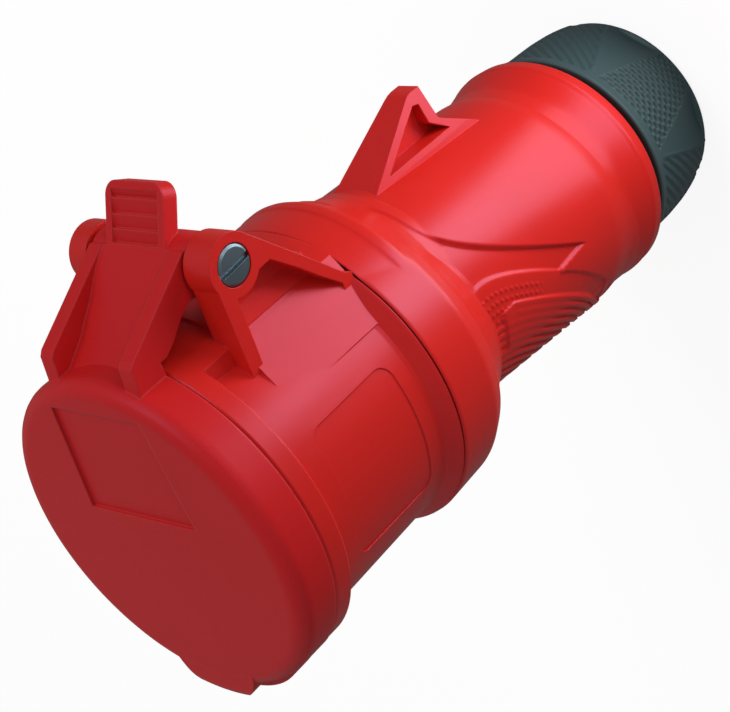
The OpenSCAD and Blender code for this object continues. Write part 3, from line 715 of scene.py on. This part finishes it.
    def barrel(self, z: np.ndarray) -> np.ndarray:
        """Section of the barrel from its rear face: an end band, a shallow hollow and a swell.

        Args:
            z: Height along the axis.

        Returns:
            The radius.
        """
        return through(z - self.z_rear, (0, 26.6), (0.5, 27.3), (1.0, 27.75), (3.8, 28.15), (4.2, 27.85),
                       (4.8, 27.8), (9.6, 26.8), (11, 26.6), (17.2, 26.9), (17.7, 27.0), (21.2, 27.3),
                       (23.4, 0))

    def base(self, angle: np.ndarray, z: np.ndarray) -> np.ndarray:
        """Radius of the plain body: the highest of waist, bevel, crown and barrel.

        A soft maximum, the mean plus a little less than half the difference, lays a small fillet
        where the bevel runs into the waist.

        Args:
            angle: Angle round the axis.
            z: Height along the axis.

        Returns:
            The radius.
        """
        d = self.lead - z
        waist, bevel = self.waist(angle, z, 0.0), self.bevel(d)
        soft = 0.5 * (waist + bevel) + self.fillet - 0.5 * np.abs(waist - bevel) * 0.98
        body = np.maximum.reduce([waist, bevel, soft])
        return np.maximum.reduce([body, off_centre(self.crown_shift, self.crown(d), angle), self.barrel(z)])

    def ribs(self, y: np.ndarray, d: np.ndarray) -> tuple[np.ndarray, np.ndarray]:
        """Rib and dot heights, as shares.

        Ribs are copies of the pad's upper edge, each a pitch lower: with u the depth below that
        edge in pitches, a rib stands where u's remainder is under a half, with sloping flanks.
        Dots stand on the upper rows near the collar, at even steps along them. Below those rows
        the ribs run on to the collar.

        Args:
            y: Height over the axis.
            d: Distance from the lead.

        Returns:
            Share of a rib's height and share of a dot's height.
        """
        edge = np.vstack([[(8, 9)], self.pad_edge, self.pad_end])
        u = (np.interp(d, edge[:, 1], edge[:, 0]) - y) / self.rib_pitch
        row, rest = np.floor(u), u % 1.0
        rib = np.maximum(ramp(rest, *self.rib_lower_flank), ramp(rest, *self.rib_upper_flank))
        start = np.where(row < self.dotted_rows, self.ribs_after_dots, 0.0)
        rib = rib * ramp(u, *self.first_rib) * ramp(d, start - self.rib_run_in, start)
        # Every second row of dots is offset by half a pitch, and all of them lean a little
        along = d / self.dot_pitch + 0.5 * (row % 2) - self.dot_row * rest
        dot = np.hypot((along % 1.0 - 0.5) * self.dot_pitch / self.dot_long,
                       (rest - self.dot_row) * self.rib_pitch / self.dot_wide)
        rows = ramp(u, *self.first_dot) * ramp(u, *self.last_dot)
        area = rows * ramp(d, *self.dots_start) * ramp(d + 0.4 * u, *self.dots_end)
        return rib, ramp(dot, *self.dot_flank) * area

    def hood(self, y: np.ndarray, d: np.ndarray) -> np.ndarray:
        """Share of the hood's height: full inside its outline, with a narrow foot along each edge.

        Args:
            y: Height over the axis.
            d: Distance from the lead.

        Returns:
            The share.
        """
        foot = np.maximum.reduce([ramp(edge_distance(self.wave, y, d), self.wave_foot, 0.0),
                                  ramp(edge_distance(self.barb, y, d), *self.barb_foot),
                                  ramp(edge_distance(self.pad_end, y, d), self.hood_end_foot, 0.0)])
        return np.where(inside(self.hood_line, y, d), 1.0, foot)

    def pad(self, y: np.ndarray, d: np.ndarray) -> np.ndarray:
        """Share of the pad's height: full inside its outline, with a foot that narrows along its edge.

        Args:
            y: Height over the axis.
            d: Distance from the lead.

        Returns:
            The share.
        """
        width = through(d, (19, 1.3), (40, 0.9), (46, 0.5))
        foot = np.maximum(ramp(edge_distance(self.pad_edge, y, d) / width, *self.pad_foot),
                          ramp(edge_distance(self.pad_end, y, d), self.pad_end_foot, 0.0))
        return np.where(inside(self.pad_line, y, d), 1.0, foot)

    def blade(self, y: np.ndarray, d: np.ndarray) -> np.ndarray:
        """Share of the blade, the toothed field: all below its edge, and low down all of the pad.

        Args:
            y: Height over the axis.
            d: Distance from the lead.

        Returns:
            The share.
        """
        edge = np.interp(d, self.blade_edge[:, 1], self.blade_edge[:, 0])
        upper = ramp(edge - y, *self.blade_foot) * ramp(d, *self.blade_start)
        return np.maximum(upper, ramp(y, *self.blade_floor) * ramp(d, *self.blade_hands_over))

    def radius(self, angle: np.ndarray, z: np.ndarray) -> np.ndarray:
        """Radius of the surface: the highest of the bodies, with eased steps at the outlines.

        Inside the pad the blade carries teeth, filled almost to their tops in its upper part and
        taller low down. Outside the blade lie low arcs and dots.

        Args:
            angle: Angle round the axis.
            z: Height along the axis.

        Returns:
            The radius.
        """
        d = self.lead - z
        base = self.base(angle, z)
        y = (base + self.hood_h * 0.8) * np.cos(angle)
        hood, pad = self.hood(y, d), self.pad(y, d)
        toothed = np.minimum(self.blade(y, d) * pad * 8, 1)
        top_r = base + self.pad_h + self.blade_h + self.rib_h
        rib, dot = self.ribs(top_r * np.cos(angle), d)
        fill = self.blade_h + self.fill_h * ramp(y, *self.fill_zone)
        tall = self.rib_h + self.lower_rib_h * ramp(y, *self.tall_zone)
        teeth = np.maximum(self.blade_h + tall * rib, fill) * toothed
        arcs = self.arc_h * rib * (1 - toothed)
        level = (self.pad_h + np.maximum(teeth, arcs) + self.dot_h * dot * (1 - toothed)) * pad
        out = np.where(d > self.pad_stop, base, self.waist(angle, z, level))
        # The hood keeps its height up to the barrel and then runs out over it
        rise = self.hood_h * hood * ramp(d, *self.hood_run_out)
        over_crown = off_centre(self.crown_shift, self.crown(d) + self.crown_step * hood, angle)
        return np.maximum.reduce([base, out, self.waist(angle, z, rise), over_crown]) + self.lift

    def build(self, finish: bpy.types.Material) -> bpy.types.Object:
        """Makes the skin as a thin closed ring, finer at its sides than on top.

        Args:
            finish: Its material.

        Returns:
            The object.
        """
        t = np.linspace(0, 2 * np.pi, self.columns, endpoint=False)
        angle = t + self.side_bias * np.sin(2 * t)
        z = np.concatenate([np.linspace(self.z_rear + 0.1, 39, 26), np.linspace(39.4, 93, 166),
                            np.linspace(93.5, self.z_joint - 0.35, 34),
                            self.z_joint - np.array([0.2, 0.08, 0.0])])
        a, zz = np.meshgrid(angle, z, indexing="ij")
        r = self.radius(a, zz)
        outer = round_axis(r, a, zz)
        # The back wall has an eighth of the rows, each under the lowest of its neighbours
        step = self.back_step
        rows = np.append(np.arange(0, z.size - 1, step), z.size - 1)
        low = np.stack([r[:, max(k - step, 0):k + step + 1].min(axis=1) for k in rows], axis=1) - self.wall
        inner = round_axis(low, a[:, rows], zz[:, rows])
        return ring_object("grip_skin", np.concatenate([outer, inner[:, ::-1]], axis=1)[:, ::-1], finish)


@dataclass(frozen=True)
class NutSkin:
    """Gland nut with its three gripping zones: ovals between two facets, and slanted stripes.

    Angles are in degrees, with the first oval field at field_at. A pair of places holds a
    ramp's foot and its top.
    """

    length: float
    front_r: float
    columns: int = 620
    fields: int = 3
    field_at: float = 60.0
    oval_depth: float = 0.70
    oval_r: float = 24.8
    oval_pitch: float = 2.2
    oval_row: float = 1.15
    oval_half: tuple[float, float] = (0.80, 0.36)
    oval_flank: tuple[float, float] = (1.3, 0.7)
    oval_margin: float = 0.8
    facet_gain: float = 1.2
    stripe_step: float = 6.7
    stripe_slant: float = 2.78
    stripe_depth: float = 0.44
    stripe_crest: float = 0.65
    stripe_start: tuple[float, float] = (2.6, 3.8)
    ridge_h: float = 0.22
    ridge_at: float = 1.2
    ridge_half: float = 1.3
    ridge_end: tuple[float, float] = (22.0, 19.5)
    band_rear: tuple[float, float] = (0.9, 1.8)
    band_front: tuple[float, float] = (22.6, 21.7)
    sink: float = 0.06

    @classmethod
    def fitted(cls) -> "NutSkin":
        """Takes the length and the front radius from the CAD.

        Returns:
            The skin.
        """
        return cls(length=face_of("gland_nut", 1, 2), front_r=face_of("gland_nut", 1, 0))

    def profile(self, z: np.ndarray) -> np.ndarray:
        """Gently swelling outline: the front radius less a drop that grows towards the rear.

        Args:
            z: Height along the axis.

        Returns:
            The radius.
        """
        return self.front_r - through(z, (0.35, 3.95), (0.9, 3.55), (1.4, 3.25), (2, 3), (4, 2.5), (6, 2.1),
                                      (8, 1.8), (12, 1.45), (17, 1.3), (20, 1.1), (22, 0.8), (24, 0.3),
                                      (24.6, 0.0), (self.length, 0.4))

    def radius(self, angle: np.ndarray, z: np.ndarray) -> np.ndarray:
        """Radius of the nut: the outline less the depth of its pattern.

        With p the angle from the middle of an oval field, the field ends at a, the facet beside
        it at b, and the stripes fill the rest. Both limits run with z.

        Args:
            angle: Angle round the axis.
            z: Height along the axis.

        Returns:
            The radius.
        """
        deg = np.degrees(angle)
        turn = 360.0 / self.fields
        p = np.abs((deg - self.field_at + turn / 2) % turn - turn / 2)
        a = through(z, (1.5, 12.0), (22.0, 25.5))
        b = through(z, (1.5, 45.0), (22.0, 26.5))
        band = ramp(z, *self.band_front) * ramp(z, *self.band_rear)
        # Ovals, staggered row by row
        row = np.floor(z / self.oval_row)
        across = deg * np.pi / 180 * self.oval_r / self.oval_pitch + 0.5 * (row % 2)
        oval = np.hypot((across % 1.0 - 0.5) * self.oval_pitch / self.oval_half[0],
                        (z / self.oval_row % 1.0 - 0.5) * self.oval_row / self.oval_half[1])
        in_field = ramp(p, a - self.oval_margin, a - 2 * self.oval_margin)
        ovals = in_field * self.oval_depth * ramp(oval, *self.oval_flank)
        # Facet: a flat chord between its two edges, which lies lowest halfway
        half = np.maximum(b - a, 0.0) / 2
        off = np.clip(p - (a + b) / 2, -half, half)
        facet = self.facet_gain * self.front_r * (1.0 - np.cos(np.radians(half)) / np.cos(np.radians(off)))
        # Slanted stripes, mirrored about the first oval field and steep on one flank, behind a ridge
        from_field = np.abs((deg - self.field_at + 180.0) % 360.0 - 180.0)
        phase = (from_field + self.stripe_slant * z) / self.stripe_step % 1.0
        tooth = np.minimum(ramp(phase, 0.0, self.stripe_crest), ramp(phase, 1.0, self.stripe_crest))
        stripes = ramp(p - b, *self.stripe_start) * self.stripe_depth * (1 - tooth)
        ridge = ramp(np.abs(p - b - self.ridge_at), self.ridge_half, 0.0) * ramp(z, *self.ridge_end)
        return self.profile(z) - band * (ovals + facet + stripes + self.sink - self.ridge_h * ridge)

    def build(self, finish: bpy.types.Material) -> bpy.types.Object:
        """Makes the nut as a closed ring with its threaded bore.

        Args:
            finish: Its material.

        Returns:
            The object.
        """
        end = self.length
        angle = np.linspace(0, 2 * np.pi, self.columns, endpoint=False)
        z = np.concatenate([[0.35, 0.6], np.linspace(0.9, 22.8, 92), np.linspace(23.2, 24.6, 6),
                            [end - 0.2, end]])
        a, zz = np.meshgrid(angle, z, indexing="ij")
        outer = round_axis(self.radius(a, zz), a, zz)
        # Bore from the front face to the rear one: thread, floor and mouth, as radius and height
        bore = np.array([(26.0, end), (22.3, end), (22.1, end - 0.2), (22.1, 16.0), (22.1, 7.2), (20.6, 6.6),
                         (20.6, 4.6), (20.6, 2.6), (11.3, 2.6), (11.1, 2.4), (11.1, 1.3), (11.8, 0.1),
                         (12.3, 0.0), (21.8, 0.0), (22.45, 0.1)])
        ar, zr = np.meshgrid(angle, bore[:, 1], indexing="ij")
        inner = round_axis(np.broadcast_to(bore[:, 0], ar.shape), ar, zr)
        return ring_object("nut_skin", np.concatenate([outer, inner], axis=1)[:, ::-1], finish)


# Studio


@dataclass(frozen=True)
class View:
    """The photograph's viewpoint, in the part's frame."""

    place: tuple[float, float, float] = (0.2819, 0.1939, 0.3331)
    right: tuple[float, float, float] = (0.72617, -0.32579, -0.60542)
    down: tuple[float, float, float] = (0.10261, -0.81937, 0.56400)
    focal_px: float = 1999.1

    def build(self) -> None:
        """Makes the scene's camera, looking along the cross of its right and its down."""
        x = Vector(self.right).normalized()
        y = -Vector(self.down).normalized()
        z = x.cross(y).normalized()
        y = z.cross(x)
        data = bpy.data.cameras.new("view")
        data.sensor_width = SENSOR_MM
        data.lens = self.focal_px / PHOTO_WIDTH * data.sensor_width
        data.clip_start = 0.01
        cam = bpy.data.objects.new("view", data)
        cam.matrix_world = Matrix.Translation(self.place) @ Matrix((x, y, z)).transposed().to_4x4()
        bpy.context.scene.collection.objects.link(cam)
        bpy.context.scene.camera = cam


@dataclass(frozen=True)
class Lamp:
    """A soft rectangular lamp, placed round the part's axis and facing a point on it.

    The azimuth is in degrees from +X, lengths are in metres and the power in watts.
    """

    name: str
    azimuth: float
    distance: float
    height: float
    size: tuple[float, float]
    power: float
    aim: float = 0.085
    flat: bool = False

    def build(self) -> None:
        """Makes the lamp; a flat one lies on the floor and shines straight up."""
        data = bpy.data.lights.new(self.name, "AREA")
        data.shape = "RECTANGLE"
        data.size, data.size_y = self.size
        data.energy = self.power
        lamp = bpy.data.objects.new(self.name, data)
        turn = np.radians(self.azimuth)
        lamp.location = (self.distance * np.cos(turn), self.distance * np.sin(turn), self.height)
        if self.flat:
            lamp.rotation_euler = (np.pi, 0.0, turn)
        else:
            way = Vector((0.0, 0.0, self.aim)) - lamp.location
            lamp.rotation_euler = way.to_track_quat("-Z", "Y").to_euler()
        lamp.visible_camera = False
        bpy.context.scene.collection.objects.link(lamp)


@dataclass
class Studio:
    """Floor, world, camera and lamps.

    The floor shows as bright as glow to the camera, a share of that in reflections, and lights
    the part from below by its own shade only.
    """

    view: View = field(default_factory=View)
    floor_half: float = 6.0
    glow: float = 0.88
    mirrored: float = 0.08
    ground: float = 0.22
    sky: float = 0.33
    lamps: tuple[Lamp, ...] = (Lamp("key", 44.0, 0.9, 0.11, (0.6, 0.2), 1.2),
                               Lamp("top", 100.0, 0.7, 0.80, (0.5, 0.5), 2.6),
                               Lamp("strip", 41.0, 0.22, 0.004, (0.22, 0.08), 0.32, flat=True),
                               Lamp("near_strip", 41.0, 0.105, 0.004, (0.11, 0.07), 0.11, flat=True))

    def floor(self) -> bpy.types.Object:
        """Makes a pale floor that comes out white to the camera and keeps the shadow.

        Returns:
            The floor.
        """
        mat, w, bsdf = new_material("floor")
        bsdf.inputs["Base Color"].default_value = (self.ground,) * 3 + (1,)
        bsdf.inputs["Roughness"].default_value = 0.9
        bsdf.inputs["Specular IOR Level"].default_value = 0.1
        path = w.put("LightPath")
        mirrored = w.calc("MULTIPLY", path.outputs["Is Glossy Ray"], self.mirrored)
        seen = w.calc("MAXIMUM", path.outputs["Is Camera Ray"], path.outputs["Is Transmission Ray"])
        bsdf.inputs["Emission Color"].default_value = (1, 1, 1, 1)
        w.tree.links.new(w.calc("MULTIPLY", w.calc("MAXIMUM", seen, mirrored), self.glow),
                         bsdf.inputs["Emission Strength"])
        mesh = bpy.data.meshes.new("floor")
        s = self.floor_half
        mesh.from_pydata([(-s, -s, 0), (s, -s, 0), (s, s, 0), (-s, s, 0)], [], [(0, 1, 2, 3)])
        mesh.materials.append(mat)
        floor = bpy.data.objects.new("floor", mesh)
        bpy.context.scene.collection.objects.link(floor)
        return floor

    def build(self) -> None:
        """Makes the floor, the world, the camera and the lamps."""
        self.floor()
        world = bpy.data.worlds.new("studio")
        world.use_nodes = True
        bg = world.node_tree.nodes["Background"]
        bg.inputs["Color"].default_value = (1, 1, 1, 1)
        bg.inputs["Strength"].default_value = self.sky
        bpy.context.scene.world = world
        bpy.context.scene.view_settings.view_transform = "Standard"
        self.view.build()
        for lamp in self.lamps:
            lamp.build()


def dress(nodes: dict, record: dict, materials: dict) -> None:
    """Gives every CAD node the finish of its slot.

    Args:
        nodes: The CAD nodes by name.
        record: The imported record.
        materials: Materials by slot.
    """
    slots = {p["node"]: p["material_slot"] for p in record["subparts"]}
    for name, obj in nodes.items():
        obj.data.materials.clear()
        obj.data.materials.append(materials[slots[name]])
        log.info("%s dressed as %s", name, slots[name])


def place(piece: bpy.types.Object, body: str, slot: str, *nodes: str) -> None:
    """Rides a new piece on a body and hides the CAD nodes that it replaces.

    Args:
        piece: The piece.
        body: Body that it moves with.
        slot: Material slot in the record; not used.
        *nodes: CAD nodes that it replaces.
    """
    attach(piece, body)
    if nodes:
        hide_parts(*nodes)
    log.info("%s: %d faces on %s", piece.name, len(piece.data.polygons), body)


def main() -> None:
    """Builds the scene."""
    logging.basicConfig(level=logging.INFO, format="%(name)s: %(message)s")
    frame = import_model()
    Studio().build()
    effects = Effects()
    materials = {slot: finish.make(effects) for slot, finish in FINISHES.items()}
    dress(frame["nodes"], frame["record"], materials)
    place(GripSkin.fitted().build(GRIP_FINISH.make(effects)), "housing", "red_plastic")
    place(NutSkin.fitted().build(materials["nut_plastic"]), "nut", "nut_plastic", "gland_nut")


if __name__ == "__main__":
    main()
